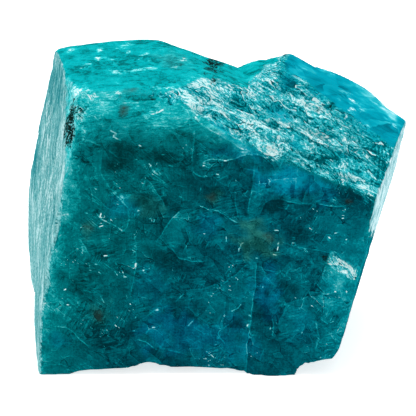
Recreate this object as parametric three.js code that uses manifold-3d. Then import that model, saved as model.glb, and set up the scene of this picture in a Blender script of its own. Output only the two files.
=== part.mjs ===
// A rough, unpolished piece of blue-green apatite, broken out of a larger crystal.
// It is one solid: flat cleavage faces, a ledged fracture slope, a raised rib, chips and pits.
// Millimetres and degrees. +Z is up, -Y is the front, and the piece rests on its base.
import * as THREE from "three";
import { mergeVertices } from "three/addons/utils/BufferGeometryUtils.js";
import Module from "manifold-3d";

const wasm = await Module();
wasm.setup();

// A point near the middle of the crystal, from which every face is measured.
const HEART = [-0.6, -1.22, 15.55];

// Flat faces: compass direction and rise of the outward normal, and distance from the heart.
const FACES = {
  front: [-89, 5.5, 11],
  leftUpper: [-165, 13, 19.5],
  leftLower: [-168.5, 4, 20.6],
  leftEdge: [-157.5, 20.5, 20.3],
  leftBack: [120, 10, 20.7],
  leftUnder: [153.5, -59.5, 20.7],
  top: [-95, 83.5, 17],
  topRight: [10, 69.5, 15.8],
  topLeft: [179, 53.5, 25.2],
  topBand: [-93.5, 45.5, 15.95],
  topBack: [110, 50, 23.7],
  slope: [-43, 60, 14.85],
  saddle: [178.5, 72.5, 12.95],
  shoulder: [-24.5, 60.5, 16.65],
  shoulderRim: [12.5, 60, 20.85],
  right: [-16.5, -9, 19.8],
  rightBack: [-13.5, -14, 20],
  rightUnder: [-16, -48, 21.6],
  back: [87.5, 7.5, 14.65],
  backLeft: [104, 4, 16.7],
  backRight: [59.5, -1.5, 20.8],
  backLow: [99, -14, 16.3],
  backLowRight: [70, -13, 17.2],
  backUnder: [45, -42, 20.5],
  base: [0, -90, 15.55],
  ribFront: [-88.5, 6, 11.75],
  ribLeft: [180, 9.5, -12.4],
  ribTop: [-72, 29, 12.25],
};

// The crystal is three blocks grown together. Each block is what its faces leave between them.
const BACK_SIDES = ["back", "backLeft", "backRight", "backLow", "backLowRight", "backUnder"];
const RIGHT_SIDES = [...BACK_SIDES, "slope", "right", "rightBack", "rightUnder", "base"];
const LEFT_SIDES = ["leftUpper", "leftLower", "leftEdge", "leftBack", "leftUnder"];
const SIDES = [...LEFT_SIDES, ...RIGHT_SIDES, "front"];
const BLOCKS = [
  [...SIDES, "top", "topRight", "topLeft", "topBand", "topBack"],
  [...SIDES, "saddle", "shoulder", "shoulderRim"],
  [...RIGHT_SIDES, "shoulder", "shoulderRim", "ribFront", "ribLeft", "ribTop"],
];
const START_SIZE = 120;
const CUT_SIZE = 200;

// Chips and pits. Each is a shape taken away: a smooth shell or a pointed shard, the face it
// sits on, how far right and up of the face's foot, its lift, its turn, and its three radii.
const CHIPS = [
  ["shell", "leftEdge", 0.7, 6.1, 0.2, -46, [3.3, 0.75, 0.8]],
  ["shell", "topRight", 6.3, 3.7, 0.1, 5, [2.9, 0.9, 0.75]],
  ["shell", "front", -7.2, -16.6, 0, 0, [1.7, 1.65, 4.4]],
  ["shell", "front", -5.2, -16.65, 0, 0, [10.3, 0.95, 6.4]],
  ["shell", "slope", -5.7, -2.2, 0.35, -64, [4.6, 1.3, 0.85]],
  ["shell", "slope", 4.6, -0.2, 0.35, -59, [2.6, 1.4, 0.8]],
  ["shell", "slope", 2.4, -4.7, 0.3, -57, [2.8, 1.1, 0.7]],
  ["shell", "topBand", -3, 3.1, 1.2, 0, [2.7, 2, 1.4]],
  ["shell", "back", -9, 10, 9, 25, [16, 12, 9.9]],
  ["shell", "backLow", 4, 2, 8, -30, [15, 12, 8.7]],
  ["shell", "leftLower", -4, -13, 7, 60, [16, 9, 7.6]],
  ["shard", "top", -4, -1.2, 0, -4, [5.5, 0.9, 0.3]],
  ["shard", "leftEdge", 3.2, 1.8, 0, -60, [3.2, 0.7, 0.5]],
  ["shard", "front", -17, 1.2, 0, 78, [3.6, 0.6, 0.5]],
  ["shard", "front", -18.4, -5.6, 0, 84, [3, 0.5, 0.5]],
  ["shard", "front", 1, 2.5, 0, -25, [2.6, 0.25, 0.2]],
  ["shard", "front", 12.3, -3, 0, 75, [1.2, 0.35, 0.4]],
  ["shard", "front", 15.4, 3.8, 0, 30, [0.9, 0.5, 0.45]],
  ["shard", "right", 0.2, -1.2, 0, 66, [4.4, 0.7, 0.4]],
  ["shard", "shoulder", 16.4, -1, 0, -70, [1.8, 0.8, 0.5]],
];
const SHELL_DETAIL = 4;

// A low knob at the back of the saddle, given like a chip but added.
const KNOB = ["shell", "saddle", -12.2, 9.5, -0.15, 0, [3.4, 1.8, 0.38]];

// Corners broken off square: like a chip, with the full size of a box instead of radii.
const BREAKS = [
  ["front", 17.4, -17.95, -5, 0, [12, 6, 12.5]],
  ["front", 12.15, -17.05, -5, 50, [2.7, 4, 12.5]],
];

// Splinters torn out of the fracture slope, in rows that all run down to the right.
const SPLINTER_TURN = -59;
const SPLINTER_SWING = 17;
const SPLINTER_LEAN = 22;
const SPLINTER_ROWS = 15;
const SPLINTER_ROW_START = -5.2;
const SPLINTER_ROW_STEP = 1.1;
const SPLINTER_FIRST = -5;
const SPLINTER_STEP = 4.2;
const SPLINTERS_PER_ROW = 6;
const SPLINTER_RADII = [3.4, 0.8, 0.5];

// Grooves down the left face, side by side, as the crystal grew.
const GROOVE_TURN = -66;
const GROOVE_SWING = 3;
const GROOVE_COUNT = 15;
const GROOVE_START = -11.5;
const GROOVE_STEP = 1.15;
const GROOVE_SLANT = -0.35;
const GROOVE_RADII = [9, 0.5, 0.28];

function radians(degrees) {
  return THREE.MathUtils.degToRad(degrees);
}

// An uneven but repeatable number between -1 and 1.
function wobble(seed) {
  return Math.sin(seed * 2.4) * Math.cos(seed * 1.1);
}

// A frame on a face: X to the right and Y up as seen from outside, Z along the outward normal.
function frameOn([compass, rise, distance]) {
  const flat = Math.cos(radians(rise));
  const east = Math.cos(radians(compass));
  const north = Math.sin(radians(compass));
  const normal = new THREE.Vector3(flat * east, flat * north, Math.sin(radians(rise)));
  const right = new THREE.Vector3(-north, east, 0);
  const up = new THREE.Vector3().crossVectors(normal, right);
  const foot = normal.clone().multiplyScalar(distance);
  return new THREE.Matrix4().makeBasis(right, up, normal).setPosition(foot);
}

// A place on a face, turned about the face's normal.
function placeOn(face, right, up, lift, turn) {
  return frameOn(FACES[face])
    .multiply(new THREE.Matrix4().makeTranslation(right, up, lift))
    .multiply(new THREE.Matrix4().makeRotationZ(radians(turn)));
}

// A closed geometry, moved by a matrix, as a solid that can be joined and cut.
function solidOf(geometry, matrix) {
  const bare = geometry.clone().deleteAttribute("normal").deleteAttribute("uv");
  const merged = mergeVertices(bare, 1e-4).applyMatrix4(matrix);
  const mesh = new wasm.Mesh({
    numProp: 3,
    vertProperties: new Float32Array(merged.attributes.position.array),
    triVerts: new Uint32Array(merged.index.array),
  });
  return new wasm.Manifold(mesh);
}

// Everything outside a face.
function beyond(face) {
  const lift = new THREE.Matrix4().makeTranslation(0, 0, CUT_SIZE / 2);
  const cut = new THREE.BoxGeometry(CUT_SIZE, CUT_SIZE, CUT_SIZE);
  return solidOf(cut, frameOn(FACES[face]).multiply(lift));
}

function block(faces) {
  const start = new THREE.BoxGeometry(START_SIZE, START_SIZE, START_SIZE);
  const whole = solidOf(start, new THREE.Matrix4());
  return faces.reduce((solid, face) => solid.subtract(beyond(face)), whole);
}

const SHAPES = {
  shell: new THREE.IcosahedronGeometry(1, SHELL_DETAIL),
  shard: new THREE.OctahedronGeometry(1),
};

function chip([shape, face, right, up, lift, turn, radii], lean = 0) {
  const place = placeOn(face, right, up, lift, turn)
    .multiply(new THREE.Matrix4().makeRotationX(radians(lean)))
    .multiply(new THREE.Matrix4().makeScale(...radii));
  return solidOf(SHAPES[shape], place);
}

function cornerBreak([face, right, up, lift, turn, size]) {
  return solidOf(new THREE.BoxGeometry(...size), placeOn(face, right, up, lift, turn));
}

// One splinter, so far along its row and so far across the rows.
function splinter(along, across, seed) {
  const row = radians(SPLINTER_TURN);
  const right = along * Math.cos(row) - across * Math.sin(row);
  const up = along * Math.sin(row) + across * Math.cos(row);
  const turn = SPLINTER_TURN + SPLINTER_SWING * wobble(seed + 23);
  const radii = SPLINTER_RADII.map((radius) => radius * (1 + 0.5 * wobble(seed + 80)));
  return chip(["shard", "slope", right, up, 0, turn, radii], SPLINTER_LEAN * wobble(seed + 11));
}

function splinters() {
  const made = [];
  for (let row = 0; row < SPLINTER_ROWS; row += 1) {
    for (let i = 0; i < SPLINTERS_PER_ROW; i += 1) {
      const seed = row * SPLINTERS_PER_ROW + i;
      const along = SPLINTER_FIRST + i * SPLINTER_STEP + 2 * wobble(seed);
      const across = SPLINTER_ROW_START + row * SPLINTER_ROW_STEP + 0.6 * wobble(seed + 40);
      made.push(splinter(along, across, seed));
    }
  }
  return made;
}

function grooves() {
  const made = [];
  for (let i = 0; i < GROOVE_COUNT; i += 1) {
    const right = GROOVE_START + i * GROOVE_STEP + 0.3 * wobble(i);
    const up = GROOVE_SLANT * right + 2 * wobble(i + 20);
    const turn = GROOVE_TURN + GROOVE_SWING * wobble(i + 60);
    const radii = GROOVE_RADII.map((radius) => radius * (1 + 0.4 * wobble(i + 60)));
    made.push(chip(["shard", "leftUpper", right, up, 0, turn, radii]));
  }
  return made;
}

function geometryOf(solid) {
  const { vertProperties, triVerts } = solid.getMesh();
  const geometry = new THREE.BufferGeometry();
  geometry.setAttribute("position", new THREE.BufferAttribute(vertProperties, 3));
  geometry.setIndex(new THREE.BufferAttribute(triVerts, 1));
  geometry.computeVertexNormals();
  return geometry;
}

const knob = chip(KNOB).subtract(beyond("back"));
const grown = BLOCKS.map(block).reduce((whole, piece) => whole.add(piece), knob);
const body = [...CHIPS.map((entry) => chip(entry)), ...BREAKS.map(cornerBreak)]
  .concat(splinters(), grooves())
  .reduce((solid, cut) => solid.subtract(cut), grown);

const apatite = new THREE.MeshStandardMaterial({
  color: new THREE.Color(0.02, 0.45, 0.5),
  roughness: 0.35,
  metalness: 0,
});
const crystal = new THREE.Mesh(geometryOf(body), apatite);
crystal.name = "apatite_crystal";
crystal.position.set(...HEART);

const part = new THREE.Group();
part.name = "raw_apatite_crystal";
part.add(crystal);
export default part;
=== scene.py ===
"""Dresses the raw apatite crystal: its broken surface as one closed skin, and its stone."""

import bpy
import numpy as np
from mathutils import Matrix, Vector


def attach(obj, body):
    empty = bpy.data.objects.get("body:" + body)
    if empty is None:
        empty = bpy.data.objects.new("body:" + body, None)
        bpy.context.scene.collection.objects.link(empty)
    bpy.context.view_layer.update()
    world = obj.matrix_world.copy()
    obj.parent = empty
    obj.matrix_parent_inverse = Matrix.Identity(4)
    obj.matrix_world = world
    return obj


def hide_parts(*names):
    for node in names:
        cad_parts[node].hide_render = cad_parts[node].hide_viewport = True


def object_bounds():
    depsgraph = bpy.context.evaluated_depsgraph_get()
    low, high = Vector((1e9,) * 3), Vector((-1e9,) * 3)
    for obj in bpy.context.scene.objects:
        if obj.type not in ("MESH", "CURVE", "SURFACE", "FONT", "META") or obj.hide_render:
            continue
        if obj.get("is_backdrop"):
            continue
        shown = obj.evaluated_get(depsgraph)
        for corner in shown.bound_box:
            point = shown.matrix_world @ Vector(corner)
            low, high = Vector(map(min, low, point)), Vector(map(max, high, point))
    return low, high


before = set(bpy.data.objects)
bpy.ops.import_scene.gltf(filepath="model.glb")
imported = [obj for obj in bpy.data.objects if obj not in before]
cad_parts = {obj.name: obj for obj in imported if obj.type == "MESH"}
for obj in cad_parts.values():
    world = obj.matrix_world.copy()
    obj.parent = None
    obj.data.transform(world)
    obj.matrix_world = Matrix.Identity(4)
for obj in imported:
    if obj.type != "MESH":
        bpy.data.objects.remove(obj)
solid_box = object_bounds()

MM = 0.001

# ---------------------------------------------------------------- the crystal's shape
# Millimetres and degrees. The heart is a point near the middle that sees the whole surface.
HEART = np.array([-0.6, -1.22, 15.55])

# Flat faces: compass direction and rise of the outward normal, and distance from the heart.
FACES = {
    "front": (-89, 5.5, 11),
    "leftUpper": (-165, 13, 19.42),
    "leftLower": (-168.5, 4, 20.6),
    "leftEdge": (-157.5, 20.5, 20.3),
    "leftBack": (120, 10, 20.7),
    "leftUnder": (153.5, -59.5, 20.7),
    "top": (-95, 83.5, 17),
    "topRight": (10, 69.5, 15.9),
    "topLeft": (179, 53.5, 25.65),
    "topBand": (-93.5, 45.5, 15.95),
    "bandLow": (-92.5, 35, 15.04),
    "bandRim": (-91, 25, 13.89),
    "frontTop": (-90, 15, 12.5),
    "topBack": (110, 50, 23.7),
    "slope": (-43, 60, 14.85),
    "saddle": (178.5, 72.5, 12.95),
    "shoulder": (-24.5, 60.5, 17.02),
    "shoulderRim": (12.5, 60, 20.85),
    "right": (-16.5, -9, 19.9),
    "rightBack": (-13.5, -14, 20),
    "rightUnder": (-16, -48, 21.6),
    "back": (87.5, 7.5, 14.65),
    "backLeft": (104, 4, 16.7),
    "backRight": (59.5, -1.5, 20.8),
    "backLow": (99, -14, 16.3),
    "backLowRight": (70, -13, 17.2),
    "backUnder": (45, -42, 20.5),
    "base": (0, -90, 15.55),
    "ribFront": (-88.5, 6, 11.75),
    "ribLeft": (180, 9.5, -13.8),
    "ribTop": (-72, 29, 12.25),
}
BACKS = ["back", "backLeft", "backRight", "backLow", "backLowRight", "backUnder"]
RIGHTS = [*BACKS, "slope", "right", "rightBack", "rightUnder", "base"]
LEFTS = ["leftUpper", "leftLower", "leftEdge", "leftBack", "leftUnder"]
BLOCKS = (
    [*LEFTS, *RIGHTS, "front", "top", "topRight", "topLeft", "topBack",
     "topBand", "bandLow", "bandRim", "frontTop"],
    [*LEFTS, *RIGHTS, "front", "saddle", "shoulder", "shoulderRim",
     "bandLow", "bandRim", "frontTop"],
    [*RIGHTS, "shoulder", "shoulderRim", "ribFront", "ribLeft", "ribTop"],
)

# Chips, as in the solid: form, face, right, up, lift, turn, radii.
CHIPS = (
    ("shell", "leftEdge", 0.7, 6.1, 0.2, -46, (3.3, 0.75, 0.8)),
    ("shell", "topRight", 6.3, 3.7, 0.1, 5, (2.9, 0.9, 0.75)),
    ("shell", "front", -6.9, -16.6, 0, 0, (3.5, 1.1, 4.4)),
    ("shell", "front", -7.1, -16.6, 0, 0, (1.9, 1.4, 4.4)),
    ("shell", "front", -5.9, -16.65, 0, 0, (10.2, 0.85, 6.4)),
    ("shell", "slope", -5.7, -2.2, 0.35, -64, (4.6, 1.3, 0.85)),
    ("shell", "slope", 4.6, -0.2, 0.35, -59, (2.6, 1.4, 0.8)),
    ("shell", "slope", 2.4, -4.7, 0.3, -57, (2.8, 1.1, 0.7)),
    ("shell", "topBand", -3, 3.1, 1.2, 0, (2.7, 2, 1.4)),
    ("shell", "back", -9, 10, 9, 25, (16, 12, 9.9)),
    ("shell", "backLow", 4, 2, 8, -30, (15, 12, 8.7)),
    ("shell", "leftLower", -4, -13, 7, 60, (16, 9, 7.6)),
    ("shard", "top", -4, -1.2, 0, -4, (5.5, 0.9, 0.3)),
    ("shard", "leftEdge", 3.2, 1.8, 0, -60, (3.2, 0.7, 0.5)),
    ("shard", "front", -17, 1.2, 0, 78, (3.6, 0.6, 0.5)),
    ("shard", "front", -18.4, -5.6, 0, 84, (3, 0.5, 0.5)),
    ("shard", "front", 1, 2.5, 0, -25, (2.6, 0.25, 0.2)),
    ("shard", "front", 12.3, -3, 0, 75, (1.2, 0.35, 0.4)),
    ("shard", "front", 15.4, 3.8, 0, 30, (0.9, 0.5, 0.45)),
    ("shard", "right", 0.2, -1.2, 0, 66, (4.4, 0.7, 0.4)),
    ("shard", "shoulder", 16.4, -1, 0, -70, (1.8, 0.8, 0.5)),
    ("shell", "front", 14.4, -16.55, -4, 0, (5.2, 2.15, 9)),
)
# Low swells added to the blocks, in the same form as the chips, and the faces that bound them.
KNOBS = (
    ("shell", "saddle", -12.2, 9.5, -0.12, 0, (3.4, 1.8, 0.42)),
    ("shell", "front", 7.9, -15.2, -1.6, 0, (5.6, 4.6, 2.35)),
    ("shell", "shoulder", 18.1, -3.9, -1.89, -74, (7.5, 3.6, 2.0)),
)
KNOB_BOUNDS = ("back", "backRight", "right", "base")

# Splinters lie in rows down the slope, and stop short of the right side. A shift is how far one
# may be out of its even place, a swing how far out of the common turn, and a spread how far out
# of the common size, as a share of it.
SPLINTER_TURN, SPLINTER_SWING, SPLINTER_LEAN = -59, 17, 22
SPLINTER_ROWS, SPLINTERS_PER_ROW = 15, 6
SPLINTER_FIRST, SPLINTER_STEP, SPLINTER_SHIFT = -5, 4.2, 2
SPLINTER_ROW_START, SPLINTER_ROW_STEP, SPLINTER_ROW_SHIFT = -5.2, 1.1, 0.6
SPLINTER_RADII, SPLINTER_SPREAD = np.array([3.4, 0.8, 0.5]), 0.5
SPLINTER_MARGIN = 2.6

# Grooves lie side by side down the left face, in the same terms. The slant is how far each
# lies up for every millimetre to the right, and the slide how far it may be out of that.
GROOVE_TURN, GROOVE_SWING, GROOVE_SLANT, GROOVE_SLIDE = -66, 3, -0.35, 2
GROOVE_COUNT, GROOVE_START, GROOVE_STEP, GROOVE_SHIFT = 15, -11.5, 1.15, 0.3
GROOVE_RADII, GROOVE_SPREAD = np.array([9, 0.5, 0.28]), 0.4

# The zones of the skin, and the faces that belong to each.
ZONES = {
    "left": ("leftUpper", "leftLower"),
    "edge": ("leftEdge", "topLeft"),
    "slope": ("slope", "ribTop"),
    "band": ("topBand", "bandLow", "bandRim"),
    "top": ("top", "topRight", "topBack"),
    "saddle": ("saddle",),
    "shoulder": ("shoulder", "shoulderRim"),
    "side": ("right", "rightBack", "rightUnder"),
    "front": ("front", "frontTop", "ribFront"),
    "hidden": (*BACKS, "leftBack", "leftUnder", "base"),
}

# Marks in the stone, by face and kind: right and up from the face's foot, turn, half length,
# half width, strength. MARK_DEPTH is how far a mark reaches to either side of its face.
MARK_DEPTH = 2.5
MARKS = {
    ("front", "smoke"): (
        (1.4, 9.6, -31, 2.4, 0.7, 0.6), (3.9, 8, -1, 1.1, 0.7, 0.5), (-9.3, 9.8, -8, 3.3, 1, 0.8),
        (-10.1, 8.3, 0, 1.8, 1.1, 0.9), (-5.5, 9, -11, 2.4, 0.9, 0.8),
        (-7.5, 3.9, 63, 1.5, 1.2, 0.9), (-12.6, -9.7, 87, 1.7, 1.4, 0.8),
        (-14.2, -4.8, 2, 2, 1.7, 0.5), (-5.3, -2.5, 0, 2.5, 1.5, 0.6), (0.3, 5, -1, 1.4, 1, 0.6),
        (6.9, 3.3, 10, 2.2, 0.9, 0.7), (10.5, 0.3, 37, 2.5, 1.3, 0.45),
        (3, -10.8, -1, 1, 0.7, 0.6), (8.2, -6.3, -1, 1.7, 1.1, 0.6), (5.1, -1, -3, 1.5, 1.3, 0.7),
    ),
    ("front", "blue"): (
        (2.7, 11.2, -34, 4, 1, 1), (1.7, 9.5, -11, 2.2, 0.8, 0.8), (9.2, 5.9, -11, 4.2, 1.9, 1),
        (12.6, 5.1, -16, 2.2, 1.1, 0.7), (-6.5, -5.9, 89, 2.9, 2.3, 0.3),
        (-4.3, -11.3, 0, 4.1, 2.7, 0.9), (0.2, -12.3, -1, 3.9, 2.9, 0.8),
        (6.4, -6.8, -88, 2.6, 1.9, 1), (3.5, -13.8, -2, 2.5, 2, 0.6),
        (-9.8, 3.2, 3, 1.7, 1.5, 0.4), (0, 1.3, -86, 1.7, 1.7, 0.6),
        (-17.3, -12.4, 1, 1.5, 1.1, 0.4), (10.3, -10.8, -4, 2.3, 1.9, 0.3),
    ),
    # Painted highlights on the front.
    ("front", "painted_highlight"): (
        (2.1, 10.8, -34, 3.8, 0.7, 0.8), (5.9, 1.1, -89, 2.6, 1.8, 0.5),
        (13.5, 1.1, -87, 2.6, 1.8, 0.35), (14.6, -7.8, -88, 4.1, 1.6, 0.9),
        (15.4, -4.2, -86, 2.1, 1.6, 0.6), (-11.7, -0.3, 0, 1.8, 1, 0.5),
        (-3.8, 1.1, 54, 1.8, 1.5, 0.5), (9.6, 6.7, -13, 3.8, 1.4, 0.7),
        (13.8, -10.2, -87, 2.7, 1.8, 0.4), (-2.7, 9.7, -11, 2.2, 0.7, 0.3),
    ),
    ("front", "olive"): (
        (5.2, -0.6, -3, 2.7, 2.3, 0.9), (0.5, 4.5, -1, 1.3, 1, 0.7),
        (-7.1, 3.4, -37, 1.8, 1.6, 0.4), (-12.5, -9, 81, 1.7, 1.6, 0.4),
        (-13.6, 0.9, 88, 1.2, 0.7, 0.5),
    ),
    ("front", "rust"): (
        (0.1, 4.5, -1, 0.6, 0.5, 0.5), (6.5, -0.3, -2, 0.8, 0.6, 0.6),
        (-12.7, -9.3, 87, 0.7, 0.6, 0.5), (-13.6, 1, -21, 0.8, 0.3, 0.5),
        (15.5, 3.8, -64, 0.3, 0.3, 0.9),
    ),
    ("front", "char"): ((12.9, -2.9, -88, 0.7, 0.2, 1),),
    ("front", "spark"): (
        (-12.1, 1.8, 3, 1.4, 1.3, 1), (-11, -3.1, -33, 2, 1.4, 1), (-2.6, -7.6, 33, 0.9, 0.6, 0.8),
        (-12.5, 11.5, -21, 1.5, 0.6, 0.7), (-6.2, 7.7, -37, 1.5, 0.9, 1),
        (12.2, -8.1, -88, 1.7, 0.8, 1), (14, 4, -1, 1, 0.6, 0.9), (7.6, -1.2, -88, 1.1, 0.7, 0.9),
        (3.4, -1.4, -88, 0.7, 0.6, 0.7), (0, -14.2, -87, 0.6, 0.6, 1),
        (-8.6, -0.9, 89, 1.6, 0.7, 0.7), (11.8, 0.5, 31, 1.6, 0.9, 0.5),
        (13.8, -10.2, -5, 1.1, 1, 0.7), (1.7, 2.4, -26, 2, 0.7, 0.7),
    ),
    ("front", "pale"): (
        (-6.2, 7.7, -36, 1.2, 0.4, 0.6), (15.3, -3.7, -45, 2.5, 0.6, 1),
        (12.1, -9.7, -86, 2.7, 0.3, 0.6), (-13.6, 0.7, -84, 1, 0.3, 0.5),
        (1.6, 2.5, -37, 1, 0.5, 0.5), (-10.5, 4.7, -51, 0.7, 0.6, 0.5),
        (0, -14.2, -47, 0.5, 0.4, 0.8), (14.1, 4.1, -3, 0.4, 0.3, 0.8),
        (-10.1, 4.6, -52, 0.9, 0.3, 0.4),
    ),
    # Painted highlights on the band under the top.
    ("topBand", "painted_highlight"): (
        (-11.4, 5.3, 5, 2.7, 1.7, 0.7), (-14.7, 7.5, -80, 1.8, 1.3, 1),
        (-2.8, 4.4, -81, 1.9, 1.7, 0.3), (-2.7, 7, 1, 2.5, 1, 0.5),
        (-12.7, 4.7, -74, 1.8, 1.6, 0.5),
    ),
    ("topBand", "rust"): (
        (-8.9, 4.8, -83, 1, 0.7, 1), (-8.3, 7.3, 0, 1, 0.4, 0.9),
    ),
    ("topBand", "char"): (
        (-8.9, 4.9, -82, 0.4, 0.3, 0.5), (-6, 6, -23, 0.9, 0.4, 0.7),
        (-0.4, 7.9, -4, 0.4, 0.4, 0.9), (0.6, 7.3, 1, 0.6, 0.3, 0.9),
        (-5.1, 8.1, 1, 0.7, 0.2, 0.6),
    ),
    ("topBand", "pale"): (
        (-14.6, 7.3, -59, 1.3, 1.2, 0.9), (-12.6, 6.3, 25, 1.2, 0.5, 0.7),
        (-12, 3.7, 26, 0.8, 0.5, 0.5), (-1, 7.1, -12, 1.6, 0.8, 1), (-9.6, 6.8, -1, 0.6, 0.3, 0.8),
        (-5.5, 7.7, 1, 1.3, 0.5, 0.6), (-3.2, 7.5, 1, 1.6, 0.7, 0.8),
        (-1.6, 5.6, 66, 0.9, 0.9, 0.9), (-0.8, 3.9, -87, 1, 0.4, 0.8),
        (0.7, 9, -23, 0.7, 0.3, 0.6), (-13.1, 1.9, -85, 1.3, 0.3, 0.5),
    ),
    ("topBand", "smoke"): (
        (-7.2, 6.1, -9, 1.8, 0.8, 0.9), (-9.3, 4.5, -15, 1.4, 1, 0.5),
        (-10.1, 3.6, -1, 0.9, 0.5, 0.4),
    ),
    ("top", "rust"): ((-4.4, 5.9, -63, 3.7, 2.1, 0.35),),
    # Painted highlights on the top.
    ("top", "painted_highlight"): (
        (-5.2, 3.7, -78, 2.1, 1.6, 0.5), (-15.7, 5.2, 74, 2.4, 1.7, 0.5),
    ),
    # Pale patches on the top: painted gloss reflections.
    ("top", "pale"): (
        (-4.4, 5.9, -63, 3.7, 2.1, 0.3), (-14.5, 2.8, 26, 1.4, 1, 0.7),
        (-10.6, 1.3, -18, 1.6, 0.7, 0.65), (-7.7, 2.5, 22, 2.4, 0.6, 0.6),
        (-10.4, 8.5, 79, 1.2, 0.4, 0.7), (-7.2, 5.7, -81, 0.7, 0.4, 0.9),
        (-11.6, 4.8, -50, 1.9, 0.7, 0.4), (-4.2, 3.8, -81, 0.9, 0.6, 1),
        (-3.3, 6.7, -83, 0.9, 0.5, 1), (-11.2, 10.7, 67, 1.9, 0.8, 0.5),
        (-14, 9.1, -78, 0.8, 0.4, 0.9), (-13.5, 5.7, -78, 0.7, 0.4, 0.9),
        (-8.6, 6.8, 72, 1.4, 0.5, 0.8), (-17.6, 8.8, -74, 0.8, 0.5, 0.6),
    ),
    ("top", "char"): ((-1.9, 3.2, -53, 0.9, 0.3, 0.6),),
    ("topRight", "char"): (
        (9.2, 3.5, -14, 9.2, 1.4, 0.9), (-0.9, 5.4, -18, 1.6, 0.3, 0.8),
        (10.7, 2, -17, 2.7, 0.5, 0.7),
    ),
    ("leftEdge", "char"): ((0.4, 6.1, -48, 3, 2, 1),),
    ("leftEdge", "pale"): (
        (1.7, 7.1, -61, 2.6, 0.6, 0.5), (-1.4, 9.7, 8, 3, 1, 0.35), (-4.3, 9, -1, 2.2, 1.1, 0.3),
    ),
    ("leftUpper", "dim"): (
        (-8.2, 9.7, 11, 6.1, 4.1, 0.9), (-13.9, -0.7, -26, 8.7, 3.3, 0.7),
    ),
    ("slope", "pale"): (
        (-2.2, 4.8, 15, 1.7, 1.3, 0.8), (0.4, -2, 53, 2.6, 2.2, 0.6),
        (-4.5, 4.6, -16, 1.7, 1.3, 1), (0.3, 5.7, 63, 1.1, 1, 0.9), (3.2, 4.3, -55, 1.8, 0.9, 0.7),
        (-3.4, 2.5, -68, 1.6, 1, 0.8), (-1.8, -0.5, 78, 2, 1.7, 0.9), (-1.1, -4.5, 47, 2, 1.7, 1),
        (9.8, -0.4, 49, 2.3, 2.1, 1), (3.3, 3, -21, 1, 0.8, 0.5), (5.8, -1.6, 10, 1.7, 0.5, 0.8),
        (5.3, -4.8, 47, 2.2, 1.7, 1), (10, -2.7, -21, 1.2, 0.8, 0.8),
        (9.8, -7.5, -72, 2.6, 1.3, 0.7), (6.1, -9.6, 8, 1.2, 0.7, 0.7),
        (4.2, -10.9, -41, 1.4, 0.8, 0.8), (4.9, -14.2, 63, 1.6, 0.8, 1),
        (12.3, -12.1, 39, 3.2, 0.5, 0.3), (15.1, -2.9, 76, 1.2, 0.9, 0.8),
        (14.2, -5.3, 66, 1.1, 0.8, 0.6),
    ),
    ("slope", "steep"): (
        (12.5, -10.4, 37, 6.5, 1.8, 1), (5.8, -14.2, 26, 2.8, 0.9, 0.6),
    ),
    ("slope", "crumb"): (
        (-2, -0.9, 45, 2.7, 2.2, 1), (-0.9, -4.7, 40, 2.4, 2, 1), (5.4, -5, 44, 2, 1.5, 1),
        (6, -9.6, 3, 2.3, 1.3, 0.7),
    ),
    ("slope", "recess"): (
        (4.7, 0, -2, 1.9, 1.5, 1), (2.1, -4.8, 69, 1.3, 0.9, 0.8), (-5.7, -1.1, -71, 4.4, 1.3, 1),
        (10.8, 4.8, 30, 3.3, 1, 0.9), (12.4, 0.9, -77, 2, 1.4, 0.7), (15.1, -6.7, 87, 2.7, 2, 1),
        (13.4, -3.9, 49, 1.7, 1.3, 0.6), (7.5, -8.2, -42, 1.2, 0.6, 0.4),
    ),
    ("slope", "smoke"): (
        (3.4, -13, 33, 1.8, 1.5, 0.35), (4.6, 2.8, 21, 1.1, 0.9, 0.5),
        (12.3, -1.3, 31, 1.3, 0.6, 0.9), (1.8, 2.9, -25, 1.8, 0.8, 0.7),
        (8.5, -9.6, -34, 1.8, 0.8, 0.8), (10.5, -11.5, 37, 3.6, 1, 0.7),
        (8.4, -4.2, 70, 1.6, 1.2, 0.6), (-0.1, 2.7, -19, 1.3, 0.7, 0.6),
        (5.9, -8.2, -40, 1.7, 1, 0.6), (7.3, -0.6, 22, 2.2, 0.4, 0.5),
    ),
    ("slope", "char"): (
        (5.1, 6.4, 30, 0.7, 0.4, 0.9), (12.6, -1.2, 36, 0.9, 0.3, 0.6),
    ),
    ("shoulder", "pale"): (
        (14, -4.5, -39, 1.3, 0.9, 0.5), (13.6, -5.9, -17, 1.1, 0.8, 0.7),
        (12.4, -7.5, 10, 1.3, 0.9, 0.6), (12.4, -4.5, -5, 1.3, 0.5, 0.4),
        (14.3, -11.5, -60, 1, 0.8, 0.8), (17.6, -8, -74, 1.5, 0.7, 0.4),
        (12.4, 2.2, -18, 1, 1, 0.4), (19.3, -6.2, -84, 2.8, 0.7, 0.4),
        (17, -0.4, -76, 2.5, 0.7, 0.3),
    ),
    # Painted highlights on the shoulder.
    ("shoulder", "painted_highlight"): (
        (13.8, -7, 9, 2.4, 1.8, 0.5), (17.8, -10.5, 6, 3.2, 1.1, 1),
        (19.3, -9.3, 14, 3.4, 1.7, 0.9), (19.3, -5.8, -89, 2.6, 2.2, 0.5),
        (14.3, 1.9, -71, 1.8, 1.4, 0.7), (10.4, -6.1, 24, 2, 1.7, 0.4),
    ),
    ("shoulder", "smoke"): (
        (11.7, -0.6, 45, 2, 1.9, 0.35), (7.5, 0.6, 62, 1.8, 1.5, 0.7),
        (12.9, -2.8, -70, 2.2, 1.7, 0.2),
    ),
}

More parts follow.
